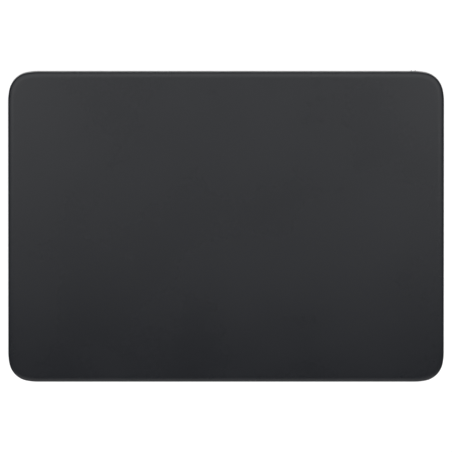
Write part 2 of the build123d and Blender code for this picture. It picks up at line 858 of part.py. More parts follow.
with BuildPart() as shield_can:
    with BuildSketch(at_depth(main_board_under)):
        with Locations((can_x, can_y)):
            Rectangle(can_length, can_width)
    extrude(amount=-can_h)
    fillet(shield_can.edges().filter_by(plate_up), can_round)
    with BuildSketch(at_depth(main_board_under)):
        with Locations((can_x, can_y)):
            Rectangle(can_length - 2 * can_wall, can_width - 2 * can_wall)
    extrude(amount=-(can_h - can_wall), mode=Mode.SUBTRACT)
finish(shield_can, "shield_can")

with BuildPart() as radio_chip:
    with BuildSketch(at_depth(main_board_under)):
        with Locations((can_x, can_y)):
            Rectangle(radio_side, radio_side)
    extrude(amount=-radio_t)
finish(radio_chip, "radio_chip")

with BuildPart() as processor_chip:
    with BuildSketch(at_depth(main_board_under)):
        with Locations((main_board_x + processor_along, main_board_y + processor_back)):
            Rectangle(processor_side, processor_side)
    extrude(amount=-processor_t)
finish(processor_chip, "processor_chip")

with BuildPart() as charge_chip:
    with BuildSketch(at_depth(main_board_under)):
        with Locations((main_board_x + charger_along, main_board_y + charger_back)):
            Rectangle(charger_side, charger_side)
    extrude(amount=-charger_t)
finish(charge_chip, "charge_chip")

with BuildPart() as board_connectors:
    with BuildSketch(at_depth(main_board_depth)):
        with Locations((sensor_plug_x, sensor_plug_y)):
            Rectangle(sensor_plug_length, connector_width)
        with Locations((socket_plug_x, socket_plug_y)):
            Rectangle(socket_plug_length, connector_width)
        with Locations((switch_plug_x, switch_plug_y)):
            Rectangle(switch_plug_length, connector_width)
        with Locations((battery_plug_x, battery_plug_y)):
            Rectangle(connector_width, battery_plug_length)
    extrude(amount=connector_h)
finish(board_connectors, "board_connectors")

with BuildPart(at_depth(main_board_under)) as board_screws:
    with Locations(*board_post_places):
        add(small_screw(main_board_t + board_post_l - screw_tip_clear), rotation=(180, 0, 0))
finish(board_screws, "board_screws")

# Ribbon from the main board up to the sensor board, with slack for the plate's travel
with BuildPart() as sensor_flex:
    with BuildSketch(long_plane(sensor_plug_x - sensor_flex_width / 2)):
        with BuildLine():
            FilletPolyline(
                (sensor_flex_start_y, -sensor_flex_low),
                (sensor_bend_y, -sensor_flex_low),
                (sensor_bend_y + sensor_flex_rise, -sensor_flex_high),
                (sensor_bend_y + sensor_flex_rise + ribbon_land, -sensor_flex_high),
                radius=ribbon_bend_radius,
            )
        trace(line_width=ribbon_t)
    extrude(amount=sensor_flex_width)
finish(sensor_flex, "sensor_flex")

# Charging socket: a steel shell in a moulded housing, strapped to two bosses
with BuildPart() as charge_socket:
    with BuildSketch(rear_plane(0, port_depth, shell_recess)):
        SlotOverall(socket_width - 2 * socket_clear, socket_height - 2 * socket_clear)
    extrude(amount=-shell_length)
    with BuildSketch(rear_plane(0, port_depth, shell_recess)):
        SlotOverall(
            socket_width - 2 * socket_clear - 2 * shell_wall,
            socket_height - 2 * socket_clear - 2 * shell_wall,
        )
    extrude(amount=-(shell_length - shell_wall), mode=Mode.SUBTRACT)
finish(charge_socket, "charge_socket")

with BuildPart() as socket_contacts:
    contact_level = port_depth + socket_height / 2 - socket_clear - shell_wall
    with BuildSketch(at_depth(contact_level)):
        with Locations((0, shell_depth_y - contact_setback - contact_length / 2)):
            with GridLocations(contact_pitch, 0, contact_count, 1):
                Rectangle(contact_width, contact_length)
    extrude(amount=contact_t)
finish(socket_contacts, "socket_contacts")

with BuildPart() as socket_housing:
    with BuildSketch(rear_plane(0, port_depth, half_y - housing_start_y)):
        RectangleRounded(housing_width, housing_height, housing_round)
        SlotOverall(
            socket_width - 2 * socket_clear + 2 * housing_bore_clear,
            socket_height - 2 * socket_clear + 2 * housing_bore_clear,
            mode=Mode.SUBTRACT,
        )
    extrude(amount=-housing_length)
finish(socket_housing, "socket_housing")

with BuildPart() as socket_bracket:
    with BuildSketch(cross_plane(housing_mid_y - socket_bracket_width / 2)):
        with BuildLine():
            socket_ear_end = socket_leg_x + socket_ear_length
            FilletPolyline(
                (-socket_ear_end, -socket_ear_depth),
                (-socket_leg_x, -socket_ear_depth),
                (-socket_leg_x, -socket_strap_depth),
                (socket_leg_x, -socket_strap_depth),
                (socket_leg_x, -socket_ear_depth),
                (socket_ear_end, -socket_ear_depth),
                radius=sheet_bend_radius,
            )
        trace(line_width=socket_bracket_t)
    extrude(amount=-socket_bracket_width)
    with BuildSketch(at_depth(socket_boss_end)):
        with Locations((-socket_ear_x, housing_mid_y), (socket_ear_x, housing_mid_y)):
            Circle(screw_shank_radius + screw_hole_clear)
    extrude(amount=-socket_bracket_t, mode=Mode.SUBTRACT)
finish(socket_bracket, "socket_bracket")

with BuildPart(at_depth(socket_boss_end + socket_bracket_t)) as socket_screws:
    with Locations((-socket_ear_x, housing_mid_y), (socket_ear_x, housing_mid_y)):
        add(
            small_screw(socket_bracket_t + socket_boss_end - deck_under - screw_tip_clear),
            rotation=(180, 0, 0),
        )
finish(socket_screws, "socket_screws")

with BuildPart() as socket_flex:
    run_y = battery_y + battery_width / 2 + socket_flex_width / 2 + socket_flex_clear
    drop_y = main_board_y + main_board_width / 2 + ribbon_land
    run_end = socket_plug_x + socket_flex_width / 2
    with BuildSketch(long_plane(socket_plug_x - socket_flex_width / 2)):
        with BuildLine():
            FilletPolyline(
                (run_y, -(housing_top_depth - ribbon_t / 2)),
                (drop_y, -(housing_top_depth - ribbon_t / 2)),
                (drop_y - socket_flex_drop_run, -(main_board_depth - ribbon_t / 2)),
                (socket_plug_y + connector_width / 2, -(main_board_depth - ribbon_t / 2)),
                radius=ribbon_bend_radius,
            )
        trace(line_width=ribbon_t)
    extrude(amount=socket_flex_width)
    with BuildSketch(at_depth(housing_top_depth)):
        with Locations((run_end / 2, run_y)):
            Rectangle(run_end, socket_flex_width)
        with Locations((0, (run_y + housing_mid_y) / 2)):
            Rectangle(socket_flex_tab, housing_mid_y - run_y + socket_flex_width)
    extrude(amount=ribbon_t)
finish(socket_flex, "socket_flex")

# Power switch: the ribbed knob, the slider it drives, and the fixed switch behind the wall
with BuildPart() as switch_knob:
    with BuildSketch(rear_plane(switch_x, port_depth, recess_depth - knob_back_clear)):
        RectangleRounded(knob_length, knob_height, knob_corner)
    extrude(amount=recess_depth - knob_back_clear + knob_crown)
    with BuildSketch(rear_plane(switch_x, port_depth)):
        with GridLocations(rib_pitch, 0, rib_count, 1):
            RectangleRounded(rib_width, rib_height, rib_width / 3)
    extrude(amount=rib_proud)
    with BuildSketch(rear_plane(switch_x, port_depth, recess_depth - knob_back_clear)):
        Rectangle(stem_length, stem_height)
    extrude(amount=-stem_reach)
finish(switch_knob, "switch_knob")

with BuildPart() as switch_slider:
    with BuildSketch(rear_plane(switch_x, port_depth, switch_body_in + knob_clear)):
        Rectangle(slider_length, slider_height)
    extrude(amount=-slider_depth)
    with BuildSketch(rear_plane(switch_x, port_depth, switch_body_in + knob_clear)):
        Rectangle(stem_length + 2 * slider_grip_clear, stem_height + 2 * slider_grip_clear)
    stem_in = recess_depth - knob_back_clear + stem_reach - switch_body_in - knob_clear
    extrude(amount=-(stem_in + slider_grip_clear), mode=Mode.SUBTRACT)
finish(switch_slider, "switch_slider")

with BuildPart() as switch_body:
    with BuildSketch(rear_plane(recess_x, port_depth, switch_body_in)):
        RectangleRounded(switch_body_length, switch_body_height, switch_body_round)
    extrude(amount=-switch_body_depth)
    with BuildSketch(rear_plane(recess_x, port_depth, switch_body_in)):
        Rectangle(switch_channel_length, switch_channel_height)
    extrude(amount=-(slider_depth + 2 * knob_clear), mode=Mode.SUBTRACT)
finish(switch_body, "switch_body")

with BuildPart() as switch_indicator:
    with BuildSketch(rear_plane(switch_x, port_depth, recess_depth)):
        SlotOverall(knob_length, knob_height)
        Rectangle(knob_length, stem_slot_height, mode=Mode.SUBTRACT)
    extrude(amount=film_t)
finish(switch_indicator, "switch_indicator")

with BuildPart() as switch_bracket:
    with BuildSketch(cross_plane(switch_bracket_y - switch_bracket_width / 2)):
        with BuildLine():
            FilletPolyline(
                (recess_x - switch_leg_x - switch_ear_length, -switch_ear_depth),
                (recess_x - switch_leg_x, -switch_ear_depth),
                (recess_x - switch_leg_x, -switch_strap_depth),
                (recess_x + switch_body_length / 2, -switch_strap_depth),
                radius=sheet_bend_radius,
            )
        trace(line_width=switch_bracket_t)
    extrude(amount=-switch_bracket_width)
    with BuildSketch(at_depth(switch_boss_end)):
        with Locations((switch_ear_x, switch_bracket_y)):
            Circle(screw_shank_radius + screw_hole_clear)
    extrude(amount=-switch_bracket_t, mode=Mode.SUBTRACT)
finish(switch_bracket, "switch_bracket")

with BuildPart(at_depth(switch_boss_end + switch_bracket_t)) as switch_screw:
    with Locations((switch_ear_x, switch_bracket_y)):
        add(
            small_screw(switch_bracket_t + switch_boss_end - deck_under - screw_tip_clear),
            rotation=(180, 0, 0),
        )
finish(switch_screw, "switch_screw")

with BuildPart() as switch_flex:
    flex_start = switch_plug_y + connector_width / 2
    flex_end = half_y - switch_body_in - switch_body_depth
    with BuildSketch(at_depth(main_board_depth)):
        with Locations((switch_plug_x, (flex_start + flex_end) / 2)):
            Rectangle(switch_flex_width, flex_end - flex_start)
    extrude(amount=ribbon_t)
finish(switch_flex, "switch_flex")
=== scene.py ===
import json
from math import asin, cos, pi, radians, sin

import bmesh
import bpy
from mathutils import Matrix, Vector


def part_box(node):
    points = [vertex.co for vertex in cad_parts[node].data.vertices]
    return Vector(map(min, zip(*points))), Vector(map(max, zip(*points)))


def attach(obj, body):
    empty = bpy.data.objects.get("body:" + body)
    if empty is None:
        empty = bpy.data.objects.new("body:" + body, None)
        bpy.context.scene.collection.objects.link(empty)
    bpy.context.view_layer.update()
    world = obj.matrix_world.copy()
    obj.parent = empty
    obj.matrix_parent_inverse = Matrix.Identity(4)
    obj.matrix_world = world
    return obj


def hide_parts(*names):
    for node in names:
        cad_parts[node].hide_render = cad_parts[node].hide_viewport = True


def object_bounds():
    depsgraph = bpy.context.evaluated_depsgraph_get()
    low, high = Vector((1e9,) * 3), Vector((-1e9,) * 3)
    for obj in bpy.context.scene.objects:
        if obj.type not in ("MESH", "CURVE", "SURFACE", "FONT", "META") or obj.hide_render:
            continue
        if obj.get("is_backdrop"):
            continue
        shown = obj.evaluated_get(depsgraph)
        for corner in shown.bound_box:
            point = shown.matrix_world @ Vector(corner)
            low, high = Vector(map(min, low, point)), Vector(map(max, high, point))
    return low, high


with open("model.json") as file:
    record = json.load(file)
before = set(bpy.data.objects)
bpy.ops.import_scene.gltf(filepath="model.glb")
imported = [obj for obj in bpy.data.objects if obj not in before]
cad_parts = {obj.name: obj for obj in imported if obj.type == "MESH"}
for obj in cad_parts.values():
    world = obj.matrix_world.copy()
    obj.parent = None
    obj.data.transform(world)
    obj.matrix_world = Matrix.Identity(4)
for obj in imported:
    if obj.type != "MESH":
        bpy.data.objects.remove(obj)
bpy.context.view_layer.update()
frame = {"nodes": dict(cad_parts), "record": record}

# A desktop trackpad: a matt black glass plate that floats in a wedge of bead-blasted aluminium.
# +X is right, +Y is the thick rear edge and +Z is up, in metres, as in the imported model.

MM = 0.001
scene = bpy.context.scene
scene.view_settings.view_transform = "Standard"

# The plate's own plane, as the part has it
PLATE_HALF_X = 80.0 * MM
PLATE_HALF_Y = 56.95 * MM
REAR_RISE = 6.0 * MM
MID_HEIGHT = 7.9 * MM
FOOT_LIFT = 0.4 * MM
REAR_HEIGHT = MID_HEIGHT + REAR_RISE / 2
TILT = asin(REAR_RISE / (2 * PLATE_HALF_Y))
LEAN_SHIFT = (REAR_HEIGHT - FOOT_LIFT) * sin(TILT) / 2
PLATE_PLACE = Matrix.Translation((0, -LEAN_SHIFT, MID_HEIGHT)) @ Matrix.Rotation(TILT, 4, "X")

# The plate's corner: one arc, eased into both sides by a larger one
CORNER_RADIUS = 8.0 * MM
EASING_RADIUS = 20.0 * MM
EASING_ANGLE = radians(12)
CORNER_STEPS = 18
EASING_STEPS = 4

# Points nearer than this are one point
SAME_POINT = MM / 1000


# ---- meshes

def corner_arcs():
    """The corner's three arcs as (centre's distance in from the side, from the end, angle, steps)."""
    spare = EASING_RADIUS - CORNER_RADIUS
    centre_in = EASING_RADIUS - spare * cos(EASING_ANGLE)
    reach = centre_in + spare * sin(EASING_ANGLE)
    return [
        (EASING_RADIUS, reach, EASING_ANGLE, EASING_STEPS),
        (centre_in, centre_in, pi / 2 - 2 * EASING_ANGLE, CORNER_STEPS),
        (reach, EASING_RADIUS, EASING_ANGLE, EASING_STEPS),
    ]


def ring_round(profile, half_x, half_y, arcs, closed=False):
    """A band carried along two half sides and spun round the corner between them, then mirrored into a ring.

    The profile is a list of (distance in from the outline, height) points, and a closed one makes a tube."""
    bm = bmesh.new()
    points = [bm.verts.new((half_x - inward, 0, height)) for inward, height in profile]
    pairs = list(zip(points, points[1:])) + ([(points[-1], points[0])] if closed else [])
    section = points + [bm.edges.new(pair) for pair in pairs]

    def carry(section, along):
        edges = [part for part in section if isinstance(part, bmesh.types.BMEdge)]
        made = bmesh.ops.extrude_edge_only(bm, edges=edges)["geom"]
        made = [part for part in made if not isinstance(part, bmesh.types.BMFace)]
        corners = [part for part in made if isinstance(part, bmesh.types.BMVert)]
        bmesh.ops.translate(bm, verts=corners, vec=along)
        return made

    section = carry(section, (0, half_y - arcs[0][1], 0))
    for in_x, in_y, angle, steps in arcs:
        centre = (half_x - in_x, half_y - in_y, 0)
        section = bmesh.ops.spin(
            bm, geom=section, cent=centre, axis=(0, 0, 1), angle=angle, steps=steps,
            use_merge=False, use_duplicate=False,
        )["geom_last"]
    carry(section, (arcs[-1][0] - half_x, 0, 0))
    for axis in ("X", "Y"):
        everything = bm.verts[:] + bm.edges[:] + bm.faces[:]
        bmesh.ops.mirror(bm, geom=everything, axis=axis, merge_dist=SAME_POINT)
    bmesh.ops.remove_doubles(bm, verts=bm.verts[:], dist=SAME_POINT)
    return bm


def close_ends(bm):
    """Fill each open loop with one flat face."""
    bmesh.ops.holes_fill(bm, edges=[edge for edge in bm.edges if edge.is_boundary], sides=0)


def quarter_round(run, drop, steps):
    """A quarter of an ellipse as (distance in, depth) points, from its steep end to its flat one."""
    turns = [pi / 2 * step / steps for step in range(steps + 1)]
    return [(run * (1 - cos(turn)), drop * (1 - sin(turn))) for turn in turns]


def rounded_block(size, corner, steps, edge, edge_steps=3, up="Y"):
    """A block with round corners about one axis, and the edges of its two ends eased if edge isn't 0."""
    bm = bmesh.new()
    bmesh.ops.create_cube(bm, size=1.0)
    bmesh.ops.scale(bm, vec=size, verts=bm.verts[:])
    index = "XYZ".index(up)
    upright = [e for e in bm.edges if abs((e.verts[0].co - e.verts[1].co)[index]) > size[index] / 2]
    bmesh.ops.bevel(
        bm, geom=upright, offset=corner, offset_type="OFFSET", segments=steps, profile=0.5,
        affect="EDGES", material=-1,
    )
    ends = [e for e in bm.edges if abs((e.verts[0].co - e.verts[1].co)[index]) < size[index] / 100]
    if edge:
        bmesh.ops.bevel(
            bm, geom=ends, offset=edge, offset_type="OFFSET", segments=edge_steps, profile=0.5,
            affect="EDGES", material=-1,
        )
    return bm


def turned(profile, steps):
    """A piece turned about the Z axis from (radius, height) points that start and end on the axis."""
    bm = bmesh.new()
    points = [bm.verts.new((radius, 0, height)) for radius, height in profile]
    edges = [bm.edges.new(pair) for pair in zip(points, points[1:])]
    bmesh.ops.spin(
        bm, geom=points + edges, cent=(0, 0, 0), axis=(0, 0, 1), angle=2 * pi, steps=steps,
        use_merge=True, use_duplicate=False,
    )
    bmesh.ops.remove_doubles(bm, verts=bm.verts[:], dist=SAME_POINT)
    return bm


def placed(bm, matrix):
    """Put a mesh in its place."""
    bmesh.ops.transform(bm, matrix=matrix, verts=bm.verts[:])
    return bm


def gather(parts):
    """Several meshes as one."""
    whole = bmesh.new()
    for bm in parts:
        spare = bpy.data.meshes.new("spare")
        bm.to_mesh(spare)
        bm.free()
        whole.from_mesh(spare)
        bpy.data.meshes.remove(spare)
    return whole


def piece(name, bm, body, slot, *nodes, sharp=35):
    """Make a piece from a mesh, ride it on its body and let it stand for its CAD nodes."""
    bmesh.ops.recalc_face_normals(bm, faces=bm.faces[:])
    for face in bm.faces:
        face.smooth = True
    for edge in bm.edges:
        edge.smooth = len(edge.link_faces) != 2 or edge.calc_face_angle(0) < radians(sharp)
    mesh = bpy.data.meshes.new(name)
    bm.to_mesh(mesh)
    bm.free()
    mesh.materials.append(bpy.data.materials[slot])
    made = bpy.data.objects.new(name, mesh)
    scene.collection.objects.link(made)
    even = made.modifiers.new("even_shading", "WEIGHTED_NORMAL")
    even.keep_sharp = True
    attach(made, body)
    if nodes:
        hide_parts(*nodes)
    return made


# ---- materials

# Where a colour Mix node has its sockets
MIX_FACTOR, MIX_FIRST, MIX_SECOND, MIX_COLOUR = 0, 6, 7, 2

# The part of a pattern's mask over which the roughness changes
MASK_LOW, MASK_HIGH = 0.2, 0.8


def group_of(name, inputs, outputs=("Mask", "Height")):
    """A node group with named number sockets, and its two end nodes."""
    group = bpy.data.node_groups.new(name, "ShaderNodeTree")
    for socket, value in inputs.items():
        made = group.interface.new_socket(socket, in_out="INPUT", socket_type="NodeSocketFloat")
        made.default_value = value
    for socket in outputs:
        group.interface.new_socket(socket, in_out="OUTPUT", socket_type="NodeSocketFloat")
    return group, group.nodes.new("NodeGroupInput"), group.nodes.new("NodeGroupOutput")


def wire(tree, source, target):
    """Join an output to an input."""
    tree.links.new(source, target)


def feed(tree, source, target):
    """Set an input to a number, or join an output to it."""
    if isinstance(source, (int, float)):
        target.default_value = source
    else:
        wire(tree, source, target)


def sum_of(tree, operation, first, second=None, third=None):
    """A Math node on sockets or numbers; gives its output."""
    node = tree.nodes.new("ShaderNodeMath")
    node.operation = operation
    for socket, value in zip(node.inputs, (first, second, third)):
        if value is not None:
            feed(tree, value, socket)
    return node.outputs[0]


def mix_of(tree, mask, first, second):
    """A colour Mix node from the first to the second colour or socket; gives its output."""
    node = tree.nodes.new("ShaderNodeMix")
    node.data_type = "RGBA"
    wire(tree, mask, node.inputs[MIX_FACTOR])
    for index, value in ((MIX_FIRST, first), (MIX_SECOND, second)):
        if isinstance(value, tuple):
            node.inputs[index].default_value = (*value, 1)
        else:
            wire(tree, value, node.inputs[index])
    return node.outputs[MIX_COLOUR]


def object_place(tree, stretch=(1, 1, 1), turn=(0, 0, 0)):
    """The point on the piece, stretched and turned by a Mapping node."""
    place = tree.nodes.new("ShaderNodeTexCoord")
    mapping = tree.nodes.new("ShaderNodeMapping")
    mapping.inputs["Scale"].default_value = stretch
    mapping.inputs["Rotation"].default_value = turn
    wire(tree, place.outputs["Object"], mapping.inputs["Vector"])
    return mapping.outputs["Vector"]


def noise(tree, place, scale, detail=2.0, roughness=0.5):
    """A noise texture; scale is a number or a socket."""
    node = tree.nodes.new("ShaderNodeTexNoise")
    node.inputs["Detail"].default_value = detail
    node.inputs["Roughness"].default_value = roughness
    wire(tree, place, node.inputs["Vector"])
    feed(tree, scale, node.inputs["Scale"])
    return node.outputs["Fac"]


def cells(tree, place, scale, feature="F1"):
    """A Voronoi texture's distance; scale is a number or a socket."""
    node = tree.nodes.new("ShaderNodeTexVoronoi")
    node.feature = feature
    wire(tree, place, node.inputs["Vector"])
    feed(tree, scale, node.inputs["Scale"])
    return node.outputs["Distance"]


def ramp(tree, value, low, high, to_low=0.0, to_high=1.0, smooth=True):
    """Map a value between two limits, without going past them."""
    node = tree.nodes.new("ShaderNodeMapRange")
    node.interpolation_type = "SMOOTHSTEP" if smooth else "LINEAR"
    node.inputs["From Min"].default_value = low
    node.inputs["From Max"].default_value = high
    node.inputs["To Min"].default_value = to_low
    node.inputs["To Max"].default_value = to_high
    wire(tree, value, node.inputs["Value"])
    return node.outputs["Result"]


def make_blasted():
    """Bead-blasted metal: small round pits, with faint cloudy patches."""
    group, given, out = group_of("bead_blasted", {"Pits": 5000.0, "Patches": 60.0, "Patch Share": 0.3})
    place = object_place(group)
    pits = ramp(group, cells(group, place, given.outputs["Pits"]), 0.0, 0.75)
    fine = noise(group, place, sum_of(group, "MULTIPLY", given.outputs["Pits"], 2.3), 3.0)
    cloud = noise(group, place, given.outputs["Patches"], 3.0)
    grain = sum_of(group, "MULTIPLY_ADD", pits, 0.6, sum_of(group, "MULTIPLY", fine, 0.4))
    share = given.outputs["Patch Share"]
    mixed = sum_of(group, "MULTIPLY_ADD", sum_of(group, "SUBTRACT", cloud, grain), share, grain)
    wire(group, mixed, out.inputs["Mask"])
    wire(group, grain, out.inputs["Height"])
    return group


def make_etched():
    """Etched glass: a very fine even tooth, with wide soft patches where hands have polished it."""
    group, given, out = group_of("etched_glass", {"Tooth": 9000.0, "Patches": 28.0, "Tooth Share": 0.35})
    place = object_place(group)
    tooth = noise(group, place, given.outputs["Tooth"], 4.0, 0.6)
    warp = noise(group, place, given.outputs["Patches"], 4.0, 0.55)
    patches = ramp(group, warp, 0.3, 0.72)
    share = given.outputs["Tooth Share"]
    mixed = sum_of(group, "MULTIPLY_ADD", sum_of(group, "SUBTRACT", tooth, patches), share, patches)
    wire(group, mixed, out.inputs["Mask"])
    wire(group, tooth, out.inputs["Height"])
    return group


def make_moulded():
    """Moulded plastic or rubber: a fine leathery skin from the mould, over slow changes of tone."""
    group, given, out = group_of("moulded_skin", {"Grain": 3500.0, "Patches": 90.0, "Patch Share": 0.5})
    place = object_place(group)
    skin = cells(group, place, given.outputs["Grain"], "SMOOTH_F1")
    cloud = noise(group, place, given.outputs["Patches"], 3.0)
    share = given.outputs["Patch Share"]
    mixed = sum_of(group, "MULTIPLY_ADD", sum_of(group, "SUBTRACT", cloud, skin), share, skin)
    wire(group, mixed, out.inputs["Mask"])
    wire(group, skin, out.inputs["Height"])
    return group


def make_rolled():
    """Rolled or drawn metal: fine lines along X, broken up by handling marks."""
    group, given, out = group_of("rolled_lines", {"Lines": 9000.0, "Marks": 500.0, "Mark Share": 0.25})
    lines = noise(group, object_place(group, (0.02, 1, 1)), given.outputs["Lines"], 3.0, 0.6)
    marks = ramp(group, noise(group, object_place(group), given.outputs["Marks"], 5.0), 0.45, 0.7)
    share = given.outputs["Mark Share"]
    mixed = sum_of(group, "MULTIPLY_ADD", sum_of(group, "SUBTRACT", marks, lines), share, lines)
    wire(group, mixed, out.inputs["Mask"])
    wire(group, lines, out.inputs["Height"])
    return group


def make_traces():
    """Printed board: runs of copper under the solder mask, square to each other, with plated holes."""
    group, given, out = group_of("board_traces", {"Runs": 900.0, "Holes": 350.0}, ("Mask", "Height", "Holes"))
    place = object_place(group)
    parts = group.nodes.new("ShaderNodeSeparateXYZ")
    wire(group, place, parts.inputs[0])
    patch = cells(group, place, 160.0)
    across = sum_of(group, "GREATER_THAN", noise(group, place, 120.0, 0.0), 0.5)
    along_x = sum_of(group, "MULTIPLY", parts.outputs["X"], given.outputs["Runs"])
    along_y = sum_of(group, "MULTIPLY", parts.outputs["Y"], given.outputs["Runs"])
    line_x = sum_of(group, "PINGPONG", along_x, 0.5)
    line_y = sum_of(group, "PINGPONG", along_y, 0.5)
    chosen = sum_of(group, "MULTIPLY_ADD", sum_of(group, "SUBTRACT", line_x, line_y), across, line_y)
    runs = ramp(group, chosen, 0.2, 0.26)
    plain = ramp(group, patch, 0.35, 0.4)
    mask = sum_of(group, "MULTIPLY", runs, plain)
    holes = ramp(group, cells(group, place, given.outputs["Holes"]), 0.16, 0.1)
    wire(group, mask, out.inputs["Mask"])
    wire(group, mask, out.inputs["Height"])
    wire(group, holes, out.inputs["Holes"])
    return group


def make_creased():
    """Pouch foil under a sleeve: soft dents with a few sharp creases."""
    group, given, out = group_of("foil_creases", {"Dents": 130.0, "Creases": 45.0})
    place = object_place(group)
    dents = noise(group, place, given.outputs["Dents"], 4.0, 0.55)
    crease = ramp(group, cells(group, place, given.outputs["Creases"], "DISTANCE_TO_EDGE"), 0.0, 0.06)
    wire(group, dents, out.inputs["Mask"])
    wire(group, sum_of(group, "MULTIPLY_ADD", crease, 0.5, dents), out.inputs["Height"])
    return group


BLASTED = make_blasted()
ETCHED = make_etched()
MOULDED = make_moulded()
ROLLED = make_rolled()
TRACES = make_traces()
CREASED = make_creased()


def surface(slot, pattern, tones, rough, depth=0.0, strength=0.5, metal=0.0, values=None, **shader):
    """A slot's material: two tones and two roughnesses laid out by a pattern, with its height as bump.

    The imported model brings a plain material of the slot's name, which gives that name up."""
    packed = bpy.data.materials.get(slot)
    if packed:
        packed.name = "packed_" + slot
    material = bpy.data.materials.new(slot)
    material.use_nodes = True
    tree = material.node_tree
    skin = tree.nodes["Principled BSDF"]
    skin.inputs["Metallic"].default_value = metal
    for socket, value in shader.items():
        skin.inputs[socket.replace("_", " ")].default_value = value
    use = tree.nodes.new("ShaderNodeGroup")
    use.node_tree = pattern
    for socket, value in (values or {}).items():
        use.inputs[socket].default_value = value
    mask = use.outputs["Mask"]
    tone = mix_of(tree, mask, *tones)
    wire(tree, tone, skin.inputs["Base Color"])
    wire(tree, ramp(tree, mask, MASK_LOW, MASK_HIGH, *rough, smooth=False), skin.inputs["Roughness"])
    if depth:
        bump = tree.nodes.new("ShaderNodeBump")
        bump.inputs["Strength"].default_value = strength
        bump.inputs["Distance"].default_value = depth
        wire(tree, use.outputs["Height"], bump.inputs["Height"])
        wire(tree, bump.outputs["Normal"], skin.inputs["Normal"])
    return material, use, tone


surface(
    "black_glass", ETCHED, ((0.0080, 0.0092, 0.0122), (0.0100, 0.0112, 0.0145)), (0.26, 0.30),
    depth=0.002 * MM, strength=0.3, IOR=1.5,
)
surface(
    "aluminium_body", BLASTED, ((0.50, 0.50, 0.51), (0.58, 0.58, 0.59)), (0.32, 0.38),
    depth=0.01 * MM, metal=1.0, Specular_Tint=(0, 0, 0, 1),
)
surface(
    "knob_silver", BLASTED, ((0.30, 0.30, 0.31), (0.38, 0.38, 0.39)), (0.34, 0.42),
    depth=0.008 * MM, metal=1.0, values={"Pits": 7000.0}, Specular_Tint=(0, 0, 0, 1),
)
surface(
    "cover_grey", MOULDED, ((0.58, 0.58, 0.59), (0.64, 0.64, 0.65)), (0.50, 0.60), depth=0.02 * MM,
)
surface(
    "foot_rubber", MOULDED, ((0.40, 0.40, 0.41), (0.47, 0.47, 0.48)), (0.70, 0.85),
    depth=0.03 * MM, values={"Grain": 2200.0},
)
surface(
    "bond_white", MOULDED, ((0.70, 0.70, 0.67), (0.78, 0.78, 0.75)), (0.55, 0.75),
    depth=0.02 * MM, values={"Grain": 1500.0},
)
surface(
    "clear_bond", MOULDED, ((0.20, 0.20, 0.21), (0.26, 0.26, 0.27)), (0.15, 0.30), values={"Grain": 700.0},
)
surface(
    "chip_black", MOULDED, ((0.016, 0.016, 0.018), (0.028, 0.028, 0.03)), (0.45, 0.62),
    depth=0.012 * MM, values={"Grain": 9000.0},
)
surface(
    "connector_white", MOULDED, ((0.64, 0.62, 0.54), (0.72, 0.70, 0.62)), (0.35, 0.45),
    depth=0.006 * MM, values={"Grain": 6000.0},
)
surface(
    "socket_plastic", MOULDED, ((0.03, 0.03, 0.032), (0.048, 0.048, 0.05)), (0.40, 0.55),
    depth=0.01 * MM, values={"Grain": 5000.0},
)
surface(
    "switch_plastic", MOULDED, ((0.05, 0.05, 0.05), (0.07, 0.07, 0.07)), (0.45, 0.60),
    depth=0.01 * MM, values={"Grain": 5000.0},
)
surface(
    "tape_black", MOULDED, ((0.04, 0.04, 0.04), (0.06, 0.06, 0.06)), (0.60, 0.80),
    depth=0.03 * MM, values={"Grain": 1200.0},
)
surface(
    "gel", MOULDED, ((0.26, 0.30, 0.38), (0.33, 0.37, 0.45)), (0.12, 0.25),
    depth=0.01 * MM, values={"Grain": 600.0}, Subsurface_Weight=0.3, Subsurface_Scale=0.001,
)
surface(
    "stiffener_metal", ROLLED, ((0.54, 0.54, 0.55), (0.64, 0.64, 0.65)), (0.28, 0.42),
    depth=0.004 * MM, metal=1.0,
)
surface(
    "spring_steel", ROLLED, ((0.46, 0.45, 0.44), (0.58, 0.57, 0.55)), (0.22, 0.38),
    depth=0.005 * MM, metal=1.0, values={"Lines": 14000.0},
)
surface(
    "sheet_steel", ROLLED, ((0.50, 0.50, 0.51), (0.60, 0.60, 0.61)), (0.28, 0.45),
    depth=0.005 * MM, metal=1.0,
)
surface(
    "core_steel", ROLLED, ((0.24, 0.24, 0.25), (0.33, 0.33, 0.34)), (0.40, 0.60),
    depth=0.006 * MM, metal=1.0, values={"Lines": 5000.0, "Mark Share": 0.4},
)
surface(
    "screw_steel", ROLLED, ((0.44, 0.44, 0.46), (0.54, 0.54, 0.56)), (0.18, 0.32),
    depth=0.003 * MM, metal=1.0, values={"Marks": 1500.0, "Mark Share": 0.5},
)
surface(
    "can_tin", ROLLED, ((0.60, 0.60, 0.58), (0.72, 0.72, 0.70)), (0.20, 0.38),
    depth=0.004 * MM, metal=1.0, values={"Marks": 900.0, "Mark Share": 0.45},
)
surface(
    "socket_steel", ROLLED, ((0.44, 0.44, 0.45), (0.54, 0.54, 0.55)), (0.22, 0.36),
    depth=0.003 * MM, metal=1.0, values={"Lines": 12000.0},
)
surface(
    "magnet_nickel", BLASTED, ((0.56, 0.54, 0.51), (0.65, 0.63, 0.60)), (0.12, 0.28),
    depth=0.002 * MM, metal=1.0, values={"Pits": 2500.0, "Patches": 200.0},
)
surface(
    "contact_gold", ROLLED, ((0.76, 0.54, 0.20), (0.86, 0.64, 0.28)), (0.16, 0.30),
    depth=0.002 * MM, metal=1.0,
)
surface(
    "gauge_foil", ROLLED, ((0.55, 0.34, 0.15), (0.70, 0.46, 0.22)), (0.30, 0.45),
    depth=0.004 * MM, metal=0.8, values={"Lines": 30000.0},
)
